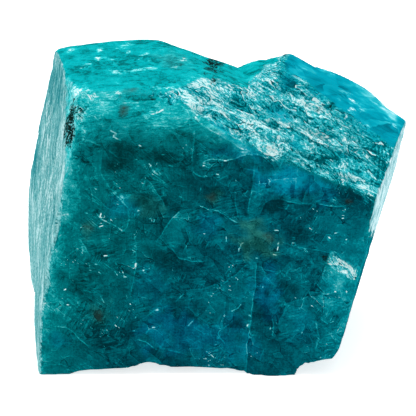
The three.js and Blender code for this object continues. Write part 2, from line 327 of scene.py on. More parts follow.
# Cracks in the front: how strong the line is, how strong the light to its left is and over how
# many millimetres that fades, and then the points, right and up, that it runs through.
CRACKS = (
    (0.8, 0.9, 1.6, -3.5, 2.7, -4.4, 1.7, -5.2, 0.5, -5.9, -0.5),
    (0.7, 0.4, 0.9, -4.3, -1.6, -3.5, -2.7, -2.2, -3, -0.7, -3.1),
    (0.5, 0.3, 0.7, -2.6, 0.5, -2.2, -0.6, -2.9, -1.7),
    (0.3, 0.8, 0.9, -5, 3.6, -5.8, 4.9, -6.7, 6.2), (0.6, 0.4, 0.4, -11, 5.3, -9.7, 3.8, -9, 3.2),
    (0.6, 0.2, 0.3, -13.5, 5, -12.3, 4.1, -11.3, 3.2),
    (0.45, 0.1, 0.3, -14.4, 5, -13.2, 4.2, -12.3, 3.6),
    (0.9, 0.2, 0.3, -12.1, 1.9, -10.9, 1.4, -9.7, 0.5),
    (0.35, 0, 0.3, -9.1, 3.3, -9, 2, -9.3, 0.9, -9.8, 0.5),
    (0.25, 0.45, 0.9, -10.9, 5.3, -11.7, 6.6, -12, 7.5, -11.9, 8.9),
    (0.45, 0.3, 0.6, -13.1, -2.4, -13.7, -1.9, -14.4, -0.5),
    (0.4, 0.3, 0.7, -16.4, -2.6, -14.3, -1.2),
    (1.5, 0.5, 0.7, -1.1, 3.4, 0, 2.9, 0.8, 2.8, 2, 2.1, 3, 1.4),
    (0.5, 0.55, 1.3, 4.9, 7.8, 4.8, 5.7, 4.5, 4, 4.3, 2.6),
    (0.5, 0.6, 1.6, 5.6, 2.6, 6.2, 3.6, 6.9, 4, 7.8, 4.1, 9.8, 3.6, 11.5, 3.5),
    (0.5, 0.6, 1.3, 10, 6.6, 8.3, 6.4, 6.9, 6.2, 5.2, 5.7),
    (0.3, 0.2, 0.6, 9.7, 8.1, 9.5, 5.9, 9.4, 4.5),
    (0.3, 0.2, 0.6, 11.4, 5.8, 10.7, 4.9, 10.4, 3.9),
    (0.55, 0.1, 0.3, 11.5, 3.4, 10.7, 2.4, 9.7, 1.9),
    (0.8, 0.5, 0.4, 12.2, 3.5, 13.4, 3.2, 15.2, 3.3),
    (0.4, 0.4, 0.7, 0.6, 5.5, 0.9, 6.3, 1.9, 6.8), (0.45, 0.2, 0.4, 2.8, 5, 2.9, 3.5, 3.2, 2),
    (0.9, 0.5, 0.7, -1.8, 7.2, -1.2, 6.8, -0.5, 6.6),
    (0.8, 0.6, 0.6, -0.7, 8.3, 0.3, 8.7, 1.7, 8.5, 2.8, 8.7, 3.7, 9.1, 4.9, 9.2),
    (0.7, 0.5, 2, -1.6, 13.1, -0.7, 12.2, 0.3, 11.8, 1.7, 11, 3.3, 10, 4.7, 9.4, 6.4, 8.7),
    (0.5, 0.2, 0.4, 7.7, 3.1, 8.5, 2.9, 8.8, 3.4),
    (0.6, 0.5, 0.8, -8.9, -6.6, -8.6, -5.2, -8.3, -3.1),
    (0.35, 0, 0.3, -8.3, -2.6, -8.2, -1.1, -8.4, -0.1), (1, 0.1, 0.2, -12.4, -7.1, -12, -7.9),
    (0.75, 0.25, 0.5, -17.3, -10.8, -16.4, -10.9, -15.6, -11.4, -14.9, -12.4, -14.1, -13.1),
    (0.7, 0.3, 0.4, -8.3, -12.4, -7.3, -12.7, -6.1, -13.7),
    (0.5, 0.2, 0.4, -4.7, -13.7, -3.7, -13.9, -2.6, -14.3), (1.1, 0, 0.2, -3.8, -7.8, -3, -7),
    (1.8, 0.1, 0.2, -2.5, -10.8, -2, -10.2), (0.4, 0, 0.2, -7.6, -9.8, -6.8, -9.2, -6, -8.6),
    (0.3, 0.2, 0.6, -15.8, -3, -15.8, -5.2, -14.7, -6.4, -13, -6.7),
    (0.4, 0.1, 0.3, -18.4, -15.4, -17.2, -15.3, -16.2, -15.8),
    (0.4, 0.1, 0.2, -10.7, -13.2, -9.7, -12.3),
    (0.7, 0.6, 1, 4.2, -16.6, 4.3, -13.2, 4.5, -11.9, 4.7, -9.9, 4.9, -7.7, 5.2, -5.9, 5.2, -3.5),
    (0.7, 0.2, 0.4, 4, -3.6, 3, -4.6, 2.1, -5.4, 1.3, -6), (0.4, 0.1, 0.3, 2.6, -3.6, 1.7, -4.6),
    (0.35, 0.5, 2.2, 4, -4.4, 1.7, -5.4, 0.4, -6, -1.1, -6.3, -2.6, -6.5),
    (0.4, 0.3, 0.7, 1.4, -10.8, 1.6, -9.4, 1.8, -8),
    (0.8, 0.25, 0.4, 2.6, -10.2, 1.4, -11.1, 0.9, -11.7, 1.1, -12.3, 1.7, -12.9),
    (1.2, 0, 0.2, 2.5, -9, 3.1, -8.7, 3.5, -8.2), (0.5, 0.1, 0.3, 9.1, -3.3, 8.4, -4, 7.6, -4.7),
    (0.6, 0.1, 0.3, 9.5, -3.5, 8.8, -4.3, 8.5, -5),
    (0.9, 0.9, 2.2, 13.3, -2.8, 12.9, -4, 12.6, -5.5, 12.3, -7),
    (0.6, 0.2, 0.4, 12.3, -6.9, 13.4, -6.8, 14.3, -6.6),
    (0.4, 0.6, 2.6, 8.9, -8.1, 8.4, -9.3, 7.9, -10.3),
    (0.3, 0.5, 2, 12.8, -7, 10.8, -7.5, 8.9, -8.1, 7.7, -7.7, 7.4, -6.9),
    (0.8, 0.3, 0.4, 7.2, -10, 7.3, -11.3, 7, -12.3), (0.5, 0.1, 0.3, 6.2, -13.5, 5.7, -14.8),
    (0.5, 0.2, 0.5, 5.9, -4.1, 8, -4.4, 10.2, -4.3),
    (0.7, 0.3, 0.5, 12.1, -13.2, 12.4, -11.8, 12, -9.9, 12.2, -8.1),
    (0.5, 0.3, 0.5, 8.2, -1, 9.5, -1.4, 11.3, -1.8, 13.2, -2.1),
    (0.3, 0.25, 2.4, -8, 12.4, -6.5, 12.2, -4.9, 12.3, -3.8, 12.1, -2.8, 12.3,
     -2.1, 13.1, -2.5, 13.9, -3.2, 14.5),
    (1.5, 0.2, 0.3, -6.4, 13.4, -5.7, 13.6, -5.1, 13.8),
    (0.5, 0.4, 0.7, -13.8, 10.7, -12.9, 10.5, -12.3, 10.3),
    (1.4, 0.1, 0.2, -10.9, 11.7, -10.3, 11.4), (1.6, 0.1, 0.2, -10.6, 11.1, -9.9, 10.7),
    (0.5, 0.2, 0.3, -10.9, 9.5, -10.1, 9, -8.9, 8.7),
    (0.6, 0.1, 0.3, -9.3, 14.4, -7.7, 14.6, -6.3, 14.7),
    (0.5, 0.1, 0.3, -8.6, 13.6, -7.1, 13.8, -5.9, 13.9),
    (0.5, 0.3, 0.6, -1.9, 8.6, -1.8, 10.2, -1.6, 11.7),
)

# Flecks in the front, painted glints drawn as short cracks with no light beside them: strength,
# start and end.
FLECKS = (
    (2.2, -12.13, 2.38, -12.07, 2.66), (2.2, -12.29, 1.08, -11.97, 1.19),
    (2, -13.71, 2.53, -13.6, 2.53), (1.2, -13.36, 2.99, -13.25, 2.99),
    (1.7, -7.95, 2.84, -7.78, 2.84), (2, -8.16, 8.64, -8.05, 8.64), (2, -6.73, 1.87, -6.58, 1.95),
    (1.7, -6.27, 1.58, -6.16, 1.78), (1.7, -3.25, 4.46, -3.11, 4.37),
    (2.2, -0.96, 3.3, -0.75, 3.22), (1.6, -0.5, 6.85, -0.31, 6.73), (1.6, -0.97, 5.2, -0.95, 5.43),
    (1.2, -10.53, 0.31, -10.42, 0.31), (1.6, -8.45, -0.05, -8.28, -0.05),
    (1.9, -8.71, -1.74, -8.52, -1.86), (1, -8.44, -1.22, -8.33, -1.22),
    (2.2, -11.82, -2.25, -11.49, -2.25), (1.7, -8.39, -3.36, -8.23, -3.3),
    (1.9, -12.58, -4.28, -12.41, -4.44), (1.8, -13.59, -3.94, -13.4, -4.06),
    (1.9, -10.69, -4.17, -10.47, -4.58), (2.2, -9.69, -4.85, -9.46, -4.86),
    (1.8, -9.97, -4.17, -9.83, -4.35), (1.6, -12.91, -3.37, -12.7, -3.46),
    (1.4, -13.67, -3.17, -13.5, -3.17), (2, -16.48, -6.42, -16.3, -6.27),
    (2.2, -16.19, -8.14, -16.02, -8.14), (1.6, -16.32, -2.67, -16.21, -2.47),
    (1.8, -6.13, -8.82, -5.9, -8.82), (1.8, -6.58, -10.99, -6.41, -10.99),
    (1.6, -8.46, -9.73, -8.37, -9.57), (1.4, -8.73, -11.34, -8.62, -11.34),
    (1.9, 5.24, -2.72, 5.41, -2.72), (2.2, 6.03, -6.25, 6.05, -6.07), (2, 8.43, -4.87, 8.6, -4.87),
    (1.9, 7.21, 0.49, 7.65, 0.37), (1.7, 7.65, -1.12, 7.7, -0.83), (2.2, 7.65, -1.91, 7.72, -1.45),
    (1.7, 7.21, -2.35, 7.49, -2.41), (2, 3.46, -1.46, 3.57, -1.13),
    (2.2, 3.26, -1.94, 3.32, -1.59), (2, 3.63, -0.99, 3.84, -0.91), (1.6, 1.81, -0.7, 1.85, -0.23),
    (2.2, 10.78, -1.99, 10.91, -2.11), (2, 9.23, -1.02, 9.5, -0.95), (1.4, 9.38, -0.4, 9.55, -0.4),
    (1.7, 14.04, 0.1, 14.3, 0.2), (2.2, 14.8, 1.89, 15.02, 1.89), (1.6, 14.89, 2.72, 15.11, 2.68),
    (1.8, 13.34, -0.36, 13.46, -0.49), (1.6, 15.33, -0.62, 15.53, -0.5),
    (2.2, 12.24, -7.88, 12.41, -7.88), (2.2, 11.58, -8.4, 11.73, -8.31),
    (2, 12.03, -8.65, 12.21, -8.8), (2, 11.91, -5.93, 11.97, -5.76),
    (2, 13.71, -10.25, 14.03, -10.13), (2, 13.65, -10.51, 13.87, -10.59),
    (1.9, 4.5, -9.52, 4.67, -9.49), (2, 4.24, -10.84, 4.26, -10.6),
    (2, 6.84, -11.33, 6.95, -11.12), (2, 6.95, -12.37, 7.1, -12.28),
    (1.6, 4.45, -12.38, 4.76, -12.23), (2.2, -0.09, -14.12, 0.13, -14.32),
    (2.2, 0.25, -14.45, 0.47, -14.74), (1.4, 0.51, -13.12, 0.68, -13.13),
    (1.6, 6.26, 5.99, 6.68, 6.15), (2, 5.28, 5.85, 5.44, 5.85), (2, -0.7, 7.92, -0.54, 7.92),
    (1.6, -0.23, 7.81, -0.12, 7.81), (1.6, 1.64, 8.48, 1.97, 8.47),
    (1.4, -1.87, 8.53, -1.79, 8.68), (1.6, -4.42, 7.97, -4.1, 7.91), (2, -6.66, 8.18, -6.48, 7.96),
    (1.8, -14.96, 9.04, -14.64, 8.95), (1.4, -13.85, 5.39, -13.52, 5.39),
    (1.8, -12.73, 5.46, -12.43, 5.31), (1.4, -5.23, 9.19, -5.02, 9.19),
    (1.4, -7.8, 10.23, -7.49, 10.12), (1.4, -10, 10.81, -9.89, 10.81),
    (1.6, 10.53, -11.82, 10.62, -11.66), (1.4, 12.5, -14.45, 12.68, -14.46),
    (2.2, 12.52, -12.24, 12.55, -12), (1.4, 0.71, 7.05, 0.92, 6.97),
    (1, 0.76, -12.39, 0.88, -12.39),
)

# The skin's lattice: half the box that it is laid on, and its cells' size.
BOX_HALF = np.array([25.0, 14.5, 17.0])
CELL = 0.3
# How far two faces are blended where they meet, and a distance beyond the whole crystal.
EDGE_SOFTNESS = 0.22
FAR = 1e3


def wobble(seed):
    """An uneven but repeatable number between -1 and 1: a sine times a cosine of the seed."""
    return np.sin(seed * 2.4) * np.cos(seed * 1.1)


def face_axes(face):
    """Right, up and outward directions of a face, as the columns of a matrix."""
    compass, rise, _ = FACES[face]
    east, north = np.cos(np.radians(compass)), np.sin(np.radians(compass))
    flat = np.cos(np.radians(rise))
    normal = np.array([flat * east, flat * north, np.sin(np.radians(rise))])
    right = np.array([-north, east, 0.0])
    return np.stack([right, np.cross(normal, right), normal], axis=1)


def turned(axes, angle, about):
    """Axes turned by an angle about one of their own: 0, 1 or 2."""
    turn = Matrix.Rotation(np.radians(angle), 3, "XYZ"[about])
    return axes @ np.array(turn)


def place_on(face, right, up, lift):
    """A point on a face, from the foot of the heart's perpendicular on it."""
    axes = face_axes(face)
    return axes @ np.array([right, up, lift + FACES[face][2]])


def depth_under(face, points):
    """How far points lie under the plane of a face."""
    return FACES[face][2] - points @ face_axes(face)[:, 2]


def box_lattice():
    """Directions to the corners of square cells laid on the six sides of a box, and each cell's
    four corners by number. Corners that two sides share are merged, so the skin is closed."""
    counts = np.round(2 * BOX_HALF / CELL).astype(int)
    codes, quads, start = [], [], 0
    for axis in range(3):
        first, second = (axis + 1) % 3, (axis + 2) % 3
        for end in (0, 1):
            a, b = np.meshgrid(
                np.arange(counts[first] + 1), np.arange(counts[second] + 1), indexing="ij"
            )
            corner = np.zeros((*a.shape, 3), int)
            corner[..., axis] = end * counts[axis]
            corner[..., first] = a
            corner[..., second] = b
            codes.append(corner.reshape(-1, 3))
            number = start + np.arange(a.size).reshape(a.shape)
            loop = [number[:-1, :-1], number[1:, :-1], number[1:, 1:], number[:-1, 1:]]
            quads.append(np.stack(loop if end else loop[::-1], axis=-1).reshape(-1, 4))
            start += a.size
    corners, merged = np.unique(np.concatenate(codes), axis=0, return_inverse=True)
    rays = (corners / counts - 0.5) * 2 * BOX_HALF
    rays /= np.linalg.norm(rays, axis=1, keepdims=True)
    return rays, merged.reshape(-1)[np.concatenate(quads)]


def block_reach(rays, names):
    """How far each ray gets inside a block: the least of its faces' distances over their cosines,
    rounded where two are close. Gives each face's share in that too, and the faces' normals."""
    normals = np.stack([face_axes(name)[:, 2] for name in names], axis=1)
    distances = np.array([FACES[name][2] for name in names], float)
    cosines = rays @ normals
    safe = np.where(np.abs(cosines) < 1e-4, 1e-4, cosines)
    hits = distances / safe
    leaving = np.where(cosines > 1e-3, hits, FAR)
    behind = np.where(cosines < -1e-3, hits, FAR)
    entering = np.where(distances < 0, behind, 0).max(axis=1)
    least = leaving.min(axis=1)
    share = np.exp((least[:, None] - leaving) / EDGE_SOFTNESS)
    reach = least - EDGE_SOFTNESS * np.log(share.sum(axis=1))
    share /= share.sum(axis=1, keepdims=True)
    return np.where(entering < reach, reach, 0), share, normals


def whole_reach(rays):
    """The farthest of the blocks along each ray, the normal there, and each face's share."""
    reach = np.zeros(len(rays))
    normal = np.zeros_like(rays)
    shares = {name: np.zeros(len(rays)) for name in FACES}
    for names in BLOCKS:
        here, share, normals = block_reach(rays, names)
        wins = here > reach
        reach = np.where(wins, here, reach)
        normal = np.where(wins[:, None], share @ normals.T, normal)
        for name in FACES:
            own = share[:, names.index(name)] if name in names else 0
            shares[name] = np.where(wins, own, shares[name])
    normal /= np.linalg.norm(normal, axis=1, keepdims=True)
    return reach, normal, shares


def span(form, rays, centre, axes, radii):
    """Where each ray enters and leaves a shell, where the squares of the three scaled coordinates
    add up to 1 at most, or a pointed shard, where their sizes do: that is eight flat sides."""
    step = rays @ axes / radii
    offset = centre @ axes / radii
    if form == "shell":
        a = (step**2).sum(axis=1)
        b = step @ offset
        root = b**2 - a * (offset @ offset - 1)
        width = np.sqrt(np.maximum(root, 0))
        miss = root <= 0
        return np.where(miss, FAR, (b - width) / a), np.where(miss, -FAR, (b + width) / a)
    signs = np.array([[1, 1, 1], [1, 1, -1], [1, -1, 1], [-1, 1, 1]])
    step, offset = step @ signs.T, signs @ offset
    step = np.where(np.abs(step) < 1e-9, 1e-9, step)
    ends = np.stack([(offset - 1) / step, (offset + 1) / step])
    return ends.min(axis=0).max(axis=1), ends.max(axis=0).min(axis=1)


def splinters():
    """Shards in rows down the fracture slope, as chips with their lean: even steps along a row
    and from row to row, with each place, turn, size and lean put out by a wobble of its own."""
    row = np.radians(SPLINTER_TURN)
    for seed in range(SPLINTER_ROWS * SPLINTERS_PER_ROW):
        line, i = divmod(seed, SPLINTERS_PER_ROW)
        along = SPLINTER_FIRST + i * SPLINTER_STEP + SPLINTER_SHIFT * wobble(seed)
        across = SPLINTER_ROW_START + line * SPLINTER_ROW_STEP
        across += SPLINTER_ROW_SHIFT * wobble(seed + 40)
        right = along * np.cos(row) - across * np.sin(row)
        up = along * np.sin(row) + across * np.cos(row)
        if depth_under("right", place_on("slope", right, up, 0)) < SPLINTER_MARGIN:
            continue
        turn = SPLINTER_TURN + SPLINTER_SWING * wobble(seed + 23)
        radii = SPLINTER_RADII * (1 + SPLINTER_SPREAD * wobble(seed + 80))
        yield ("shard", "slope", right, up, 0, turn, radii), SPLINTER_LEAN * wobble(seed + 11)


def grooves():
    """Long shallow shards side by side down the left face: even steps to the right, each a little
    lower than the last, with each place, turn and size put out by a wobble of its own."""
    for i in range(GROOVE_COUNT):
        right = GROOVE_START + i * GROOVE_STEP + GROOVE_SHIFT * wobble(i)
        up = GROOVE_SLANT * right + GROOVE_SLIDE * wobble(i + 20)
        turn = GROOVE_TURN + GROOVE_SWING * wobble(i + 60)
        radii = GROOVE_RADII * (1 + GROOVE_SPREAD * wobble(i + 60))
        yield ("shard", "leftUpper", right, up, 0, turn, radii)


def chip_span(rays, chip, lean=0):
    """Where each ray enters and leaves a chip's form, turned and leant on its face."""
    form, face, right, up, lift, turn, radii = chip
    axes = turned(turned(face_axes(face), turn, 2), lean, 0)
    return span(form, rays, place_on(face, right, up, lift), axes, np.array(radii))


def with_knobs(rays, reach):
    """The reach with the knobs added, each cut off at the faces that bound them."""
    for knob in KNOBS:
        _, leave = chip_span(rays, knob)
        for face in KNOB_BOUNDS:
            slant = rays @ face_axes(face)[:, 2]
            leave = np.minimum(leave, FACES[face][2] / np.maximum(slant, 1e-3))
        reach = np.maximum(reach, leave)
    return reach


def without_chips(rays, reach):
    """The reach less each chip that the surface lies inside. It is done twice over, because one
    chip can bring the surface into another."""
    chips = [(chip, 0) for chip in (*CHIPS, *grooves())] + list(splinters())
    for chip, lean in chips * 2:
        enter, leave = chip_span(rays, chip, lean)
        inside = (enter < reach) & (reach < leave) & (enter > 0)
        reach = np.where(inside, enter, reach)
    return reach


def chance(lattice, seed=0):
    """Three uneven but repeatable numbers from -1 to 1 for each corner of a lattice: its whole
    numbers are multiplied up, added and stirred, and three runs of ten bits are read off."""
    key = lattice @ np.array([73856093, 19349663, 83492791]) + seed * 2654435
    key = (key ^ (key >> 13)) * 1274126177
    key = (key ^ (key >> 15)) * 668265263
    return np.stack([(key >> shift) & 1023 for shift in (7, 19, 31)], axis=1) / 511.5 - 1


def uneven(points, seed=0):
    """Smooth uneven numbers from about -1 to 1: each lattice corner has a slope of its own, and
    the slopes of the eight corners around a point are blended."""
    base = np.floor(points).astype(np.int64)
    rest = points - base
    ease = rest**3 * (rest * (rest * 6 - 15) + 10)
    total = np.zeros(len(points))
    for corner in np.ndindex(2, 2, 2):
        weight = np.prod(np.where(corner, ease, 1 - ease), axis=1)
        total += weight * (chance(base + corner, seed) * (rest - corner)).sum(axis=1)
    return 1.5 * total


def layered(points, layers, seed=0):
    """Uneven numbers with finer and weaker ones added, each layer half the size of the last."""
    return sum(uneven(points * 2**i, seed + i) / 2**i for i in range(layers))


def facets(points, seed):
    """Space broken into uneven cells, one around each shifted lattice point. Gives each point the
    height there of its own cell's tilted plane."""
    base = np.floor(points).astype(np.int64)
    nearest, height = np.full(len(points), FAR), np.zeros(len(points))
    for step in np.ndindex(3, 3, 3):
        cell = base + step - 1
        away = points - cell - 0.5 - 0.42 * chance(cell, seed)
        far = (away**2).sum(axis=1)
        tilt = chance(cell, seed + 50)
        wins = far < nearest
        height = np.where(wins, (tilt * away).sum(axis=1) + 0.5 * tilt[:, 0], height)
        nearest = np.where(wins, far, nearest)
    return height


def on_face(points, face, turn, sizes):
    """Points in a face's own axes after a turn, each coordinate divided by a grain size."""
    return points @ turned(face_axes(face), turn, 2) / np.array(sizes)


def smooth(low, high, value):
    """An eased step from 0 at low to 1 at high."""
    part = np.clip((value - low) / (high - low), 0, 1)
    return part * part * (3 - 2 * part)


def marked(points):
    """Each kind of mark as a number per point: 1 in the middle of a ragged ellipse on its face,
    easing to 0 at its rim."""
    drift = np.stack([layered(points / 1.6, 3, seed) for seed in (21, 31, 41)], axis=1)
    kinds = {}
    for (face, kind), rows in MARKS.items():
        for right, up, turn, long, wide, strength in rows:
            near = points - place_on(face, right, up, 0)
            near = on_face(near, face, turn, (long, wide, MARK_DEPTH)) + 0.7 * drift
            inside = strength * (1 - smooth(0.35, 1.3, np.linalg.norm(near, axis=1)))
            kinds[kind] = np.maximum(kinds.get(kind, 0), inside)
    return kinds


def crack_zones(points, seen):
    """Four numbers per point of the front. "beside" is how far the point lies to the left of the
    nearest crack and "beyond" how far past its ends, in millimetres. "crack" is that crack's
    strength, easing to 0 half a millimetre away. "light" is the light left of all cracks: the
    strength of each, fading exponentially over its own reach. A crack is a chain of straight
    runs, a little wavy. Points not seen get 0."""
    zones = {name: np.zeros(len(points)) for name in ("beside", "beyond", "crack", "light")}
    some = points[seen]
    waver = np.stack([layered(some / 1.3, 3, 61), layered(some / 1.3, 3, 67)], axis=1)
    flat = some @ face_axes("front")[:, :2] + 0.12 * waver
    nearest = np.full(len(some), FAR)
    side, past, strength, light = np.zeros((4, len(some)))
    flecks = [(strong, 0, 1, *ends) for strong, *ends in FLECKS]
    for strong, glow, fade, *spots in (*CRACKS, *flecks):
        spots = np.array(spots).reshape(-1, 2)
        least, left = np.full(len(some), FAR), np.zeros(len(some))
        for start, end in zip(spots[:-1], spots[1:]):
            run, away = end - start, flat - start
            part = np.clip(away @ run / (run @ run), 0, 1)
            gap = np.linalg.norm(away - part[:, None] * run, axis=1)
            across = (run[0] * away[:, 1] - run[1] * away[:, 0]) / np.linalg.norm(run)
            left = np.where(gap < least, across, left)
            least = np.minimum(gap, least)
        over = np.sqrt(np.maximum(least**2 - left**2, 0))
        wins = least < nearest
        nearest = np.where(wins, least, nearest)
        side, past = np.where(wins, left, side), np.where(wins, over, past)
        strength = np.where(wins, strong, strength)
        shed = np.exp(-np.maximum(left, 0) / fade - (over / 0.7) ** 2)
        light += glow * shed * smooth(-0.45, -0.3, left)
    zones["beside"][seen], zones["beyond"][seen] = side, past
    zones["crack"][seen] = strength * (1 - smooth(0.35, 0.6, nearest))
    zones["light"][seen] = light
    return zones


def hand_over(zones, giver, taker, part):
    """Gives a part of one zone to another."""
    given = zones[giver] * part
    zones[giver], zones[taker] = zones[giver] - given, zones[taker] + given


def climb_up_band(points):
    """How high each point lies up the band under the top, along the band's own upward axis, plus
    a slow unevenness so that borders wander."""
    return (points @ face_axes("topBand"))[:, 1] + 1.2 * layered(points / 3, 3, 71)


def face_zones(points, share):
    """Each zone as the sum of its faces' shares. The shoulder spills over the slope's rim, and
    the slope's frost spreads over the saddle's and the band's, each up to a wandering border."""
    zones = {zone: sum(share[face] for face in faces) for zone, faces in ZONES.items()}
    rim = depth_under("shoulder", points) + 0.12 * layered(points / 2.5, 3, 77)
    hand_over(zones, "slope", "shoulder", 1 - smooth(0.2, 0.5, rim))
    gap = depth_under("slope", points)
    frosted = 1 - smooth(0.3, 2.2, gap + 0.6 * layered(points / 1.5, 3, 79))
    hand_over(zones, "saddle", "slope", frosted)
    wispy = 1 - smooth(0.1, 1.9, gap + 1.1 * layered(points / 1.1, 3, 81))
    hand_over(zones, "band", "slope", smooth(4.4, 6.0, climb_up_band(points)) * wispy)
    return zones


def relief(points, z, base):
    """How far each point stands out from its face: a slow roll of the whole surface, less each
    zone's own slabs, leaves, hackles, grooves, crumbs and ripples. The base stays flat."""
    slabs = facets(on_face(points, "front", 20, (5.5, 3.6, 3.6)), 3)
    small = facets(on_face(points, "front", -35, (2.6, 1.5, 1.5)), 5)
    leaves = facets(on_face(points, "slope", SPLINTER_TURN, (4.2, 1.5, 1.5)), 7)
    hackle = layered(on_face(points, "slope", SPLINTER_TURN, (3.2, 0.7, 0.7)), 2, 3)
    groove = 1 - np.abs(layered(on_face(points, "leftUpper", GROOVE_TURN, (14, 0.9, 6)), 2, 5))
    crumb = layered(points / 1.3, 2, 7)
    ripple = layered(on_face(points, "top", 0, (4.5, 1.6, 3)), 2, 13)
    rise = 0.12 * uneven(points / 7, 11)
    rise -= z["slope"] * (0.3 * leaves + 0.16 * np.abs(hackle) - 0.05)
    rise -= z["front"] * (0.1 * slabs + 0.05 * small) + z["side"] * 0.08 * crumb
    rise -= z["left"] * 0.16 * (groove - 0.7) + z["edge"] * (0.06 * crumb + 0.15 * groove - 0.1)
    rise -= z["band"] * 0.1 * ripple + (z["top"] + z["saddle"]) * 0.12 * ripple
    rise -= z["shoulder"] * 0.05 * ripple + z["hidden"] * (0.2 * slabs + 0.14 * crumb)
    return rise * (1 - base)


def tinted(points, z):
    """The zones with those added that change only the colour. Low down, the right side looks like
    the front. "dusk" is the lower part of the band, "glow" the light that comes in at the front's
    two ends, "near" the frost beside the slope, "sunny" the middle and left of the slope, "green"
    the stone's left part, and "rim" the back rim of the left face."""
    climb = climb_up_band(points)
    height = 2.4 * (points[:, 2] - 0.2) + 3.5 * layered(points / 3, 3, 75)
    high = smooth(0, 7, depth_under("front", points) + height)
    z["front"], z["side"] = z["front"] + z["side"] * (1 - high), z["side"] * high
    inward = {face: np.maximum(depth_under(face, points), 0)
              for face in ("leftUpper", "leftBack", "right", "slope")}
    z["dusk"] = 1 - smooth(-1, 5, climb)
    z["glow"] = 0.5 * np.exp(-inward["leftUpper"] / 0.9) + 0.65 * np.exp(-inward["leftUpper"] / 3)
    z["glow"] += 0.45 * (1 - high) * np.exp(-inward["right"] / 3.5)
    z["near"] = (z["band"] + z["top"] + z["saddle"]) * np.exp(-inward["slope"] / 0.6)
    z["near"] *= smooth(3.6, 5.6, climb)
    z["sunny"] = 1 - smooth(-3, 17, points[:, 0])
    z["green"] = 1 - smooth(-14, 4, points[:, 0] - 0.6 * points[:, 2])
    z["rim"] = z["left"] * np.exp(-inward["leftBack"] / 1.2)
    return {**z, **crack_zones(points, z["front"] + z["band"] > 0.01), **marked(points)}


def crystal_surface():
    """The skin's points, cells and zones: the blocks' reach along each ray, with the knobs and
    less the chips, then moved along the normal by the relief."""
    rays, quads = box_lattice()
    reach, normal, share = whole_reach(rays)
    reach = without_chips(rays, with_knobs(rays, reach))
    points = rays * reach[:, None]
    zones = face_zones(points, share)
    skin = HEART + points + normal * relief(points, zones, share["base"])[:, None]
    skin[:, 2] = np.maximum(skin[:, 2], 0)
    return skin, quads, tinted(points, zones)


def mesh_object(name, points, quads, zones, material):
    """A mesh from arrays of points in millimetres and cells, with a number per point per zone."""
    mesh = bpy.data.meshes.new(name)
    mesh.vertices.add(len(points))
    mesh.vertices.foreach_set("co", (points * MM).astype(np.float32).ravel())
    mesh.loops.add(quads.size)
    mesh.loops.foreach_set("vertex_index", quads.astype(np.int32).ravel())
    mesh.polygons.add(len(quads))
    mesh.polygons.foreach_set("loop_start", np.arange(0, quads.size, 4, dtype=np.int32))
    mesh.update(calc_edges=True)
    mesh.validate()
    mesh.polygons.foreach_set("use_smooth", np.ones(len(mesh.polygons), bool))
    for zone, values in zones.items():
        layer = mesh.attributes.new(zone, "FLOAT", "POINT")
        layer.data.foreach_set("value", values.astype(np.float32))
    mesh.materials.append(material)
    piece = bpy.data.objects.new(name, mesh)
    bpy.context.scene.collection.objects.link(piece)
    return piece


# ---------------------------------------------------------------- shader arithmetic
def linear(red, green, blue):
    """A colour given in 0 to 255 screen values, as shader values."""
    screen = np.array([red, green, blue]) / 255
    low, high = screen / 12.92, ((screen + 0.055) / 1.055) ** 2.4
    return (*np.where(screen <= 0.04045, low, high).tolist(), 1.0)


class Term:
    """A number socket in a node tree. Arithmetic on it adds Math nodes."""

    def __init__(self, sheet, socket):
        self.sheet, self.socket = sheet, socket

    def math(self, operation, *values, clamp=False):
        """Adds a Math node on these values."""
        settings = {"operation": operation, "use_clamp": clamp}
        return self.sheet.node("ShaderNodeMath", settings, dict(enumerate(values)))

    def __add__(self, other):
        return self.math("ADD", self, other)

    def __sub__(self, other):
        return self.math("SUBTRACT", self, other)

    def __rsub__(self, other):
        return self.math("SUBTRACT", other, self)

    def __mul__(self, other):
        return self.math("MULTIPLY", self, other)

    def __abs__(self):
        return self.math("ABSOLUTE", self)

    __radd__, __rmul__ = __add__, __mul__

    def other(self, out):
        """Another output of the same node."""
        return Term(self.sheet, self.socket.node.outputs[out])

    def clamped(self):
        """This number kept between 0 and 1."""
        return self.math("ADD", self, 0.0, clamp=True)

    def step(self, low, high):
        """An eased step from 0 at low to 1 at high."""
        settings = {"interpolation_type": "SMOOTHSTEP"}
        sockets = {"Value": self, "From Min": low, "From Max": high}
        return self.sheet.node("ShaderNodeMapRange", settings, sockets)


